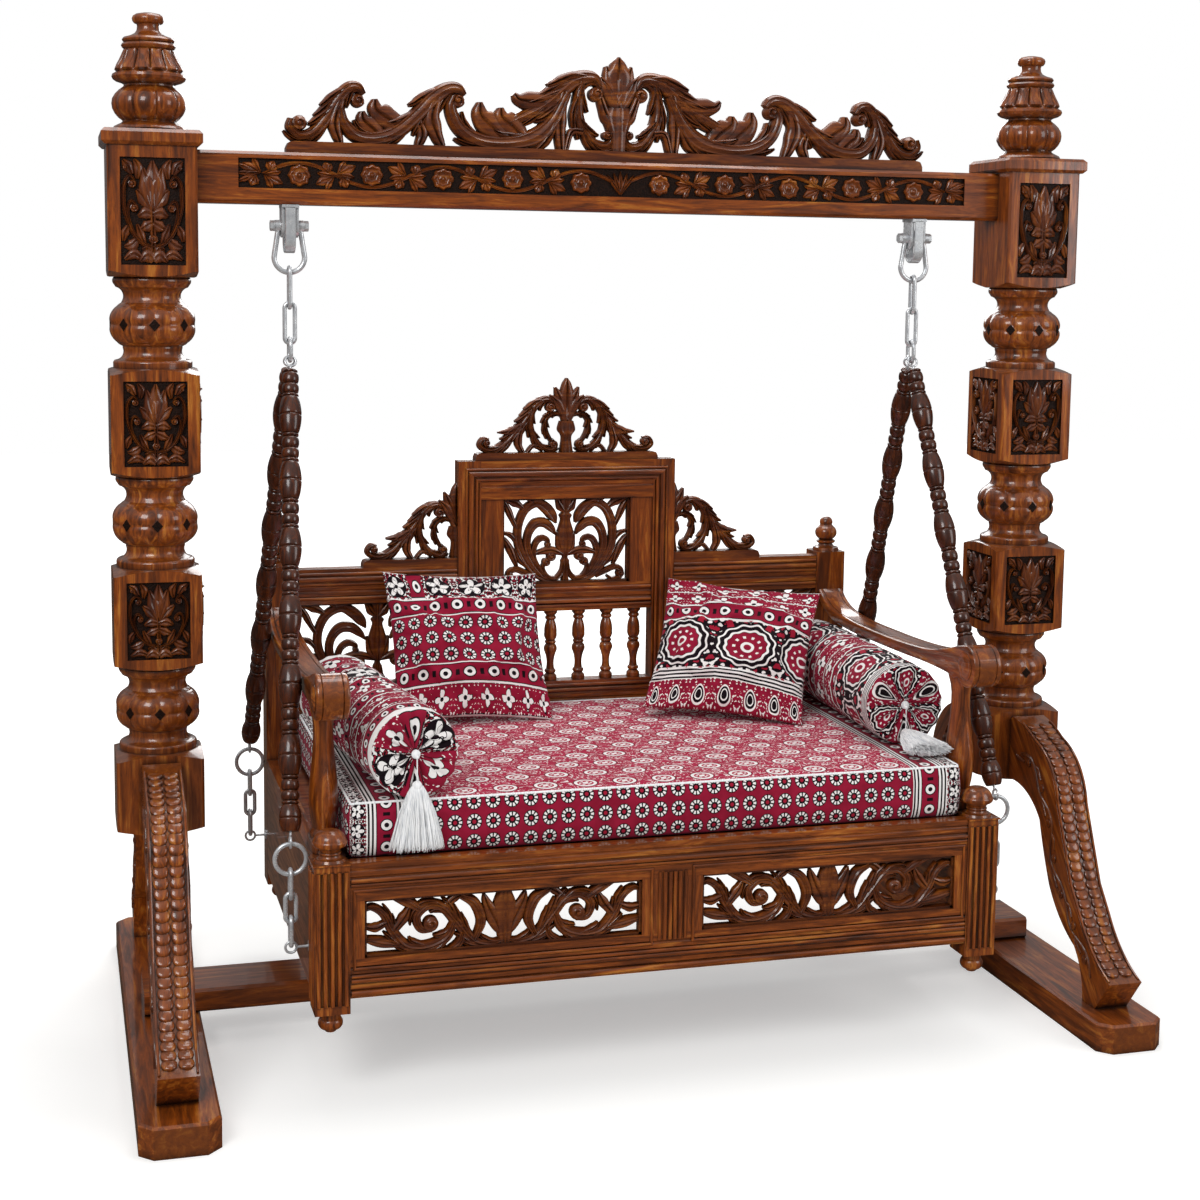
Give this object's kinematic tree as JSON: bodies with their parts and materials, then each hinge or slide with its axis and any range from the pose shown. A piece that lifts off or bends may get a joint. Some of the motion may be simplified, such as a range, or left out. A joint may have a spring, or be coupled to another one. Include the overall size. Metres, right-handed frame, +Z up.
{
  "type": "jhoola swing",
  "caption": "Carved wooden jhoola: a stand with turned posts and a carved beam, and a cushioned sofa bench hung on shackles, turned rods and chains.",
  "frame": {"origin": "on the ground, midway between the posts, under the middle of the beam", "axes": "+X to the swing's right as seen from the front, +Y from the open front of the seat to its back, +Z up"},
  "size_m": [2.167, 1.22, 2.1293],
  "materials": {
    "carved_wood": "glossy lacquered rosewood",
    "dark_wood": "dark lacquered turned wood",
    "steel": "bright zinc plated steel",
    "printed_cotton": "block printed cotton over filling",
    "white_yarn": "white cotton yarn"
  },
  "bodies": {
    "frame": {"left_foot": "carved_wood", "right_foot": "carved_wood", "stretcher": "carved_wood", "left_front_brace": "carved_wood", "right_front_brace": "carved_wood", "left_rear_brace": "carved_wood", "right_rear_brace": "carved_wood", "left_post": "carved_wood", "right_post": "carved_wood", "post_caps": "carved_wood", "post_finials": "carved_wood", "beam": "carved_wood", "beam_crest": "carved_wood", "hangers": "steel", "hanger_rollers": "steel", "pivot_bolts": "steel"},
    "left_drop": {"left_shackle": "steel", "left_upper_links": "steel"},
    "right_drop": {"right_shackle": "steel", "right_upper_links": "steel"},
    "bench": {"junction_rings": "steel", "left_front_rod": "dark_wood", "right_front_rod": "dark_wood", "left_rear_rod": "dark_wood", "right_rear_rod": "dark_wood", "rod_eyes": "steel", "lower_rings": "steel", "lower_chain_links": "steel", "side_hooks": "steel", "front_legs": "carved_wood", "rear_posts": "carved_wood", "apron_top_rail": "carved_wood", "apron_bottom_rail": "carved_wood", "apron_stiles": "carved_wood", "apron_carvings": "carved_wood", "side_rails": "carved_wood", "rear_seat_rail": "carved_wood", "seat_deck": "carved_wood", "left_arm": "carved_wood", "right_arm": "carved_wood", "arm_supports": "carved_wood", "back_lower_rail": "carved_wood", "balusters": "carved_wood", "cross_rail": "carved_wood", "center_stiles": "carved_wood", "center_margins": "carved_wood", "center_top_rail": "carved_wood", "center_carving": "carved_wood", "side_carvings": "carved_wood", "side_top_rails": "carved_wood", "center_crest": "carved_wood", "side_crests": "carved_wood", "mattress": "printed_cotton", "left_pillow": "printed_cotton", "right_pillow": "printed_cotton", "left_bolster": "printed_cotton", "right_bolster": "printed_cotton", "bolster_buttons": "white_yarn"},
    "left_tassel": {"left_tassel": "white_yarn"},
    "right_tassel": {"right_tassel": "white_yarn"}
  },
  "joints": [
    {"name": "left_swing", "type": "hinge", "parent": "frame", "child": "left_drop", "pos_m": [-0.706, 0, 1.711], "axis": [1, 0, 0], "range_deg": [-9, 9]},
    {"name": "right_swing", "type": "hinge", "parent": "frame", "child": "right_drop", "pos_m": [0.706, 0, 1.711], "axis": [1, 0, 0], "range_deg": [-9, 9]},
    {"name": "bench_rock", "type": "hinge", "parent": "left_drop", "child": "bench", "pos_m": [-0.706, 0, 1.4691], "axis": [1, 0, 0], "range_deg": [-2, 2]},
    {"name": "left_tassel_swing", "type": "hinge", "parent": "bench", "child": "left_tassel", "pos_m": [-0.51911, -0.44775, 0.6884], "axis": [-1, 0, 0], "range_deg": [0, 60]},
    {"name": "right_tassel_swing", "type": "hinge", "parent": "bench", "child": "right_tassel", "pos_m": [0.60371, -0.25279, 0.6884], "axis": [-1, 0, 0], "range_deg": [0, 60]}
  ],
  "couplings": [
    {"joint": "right_swing", "follows": "left_swing", "ratio": 1}
  ]
}
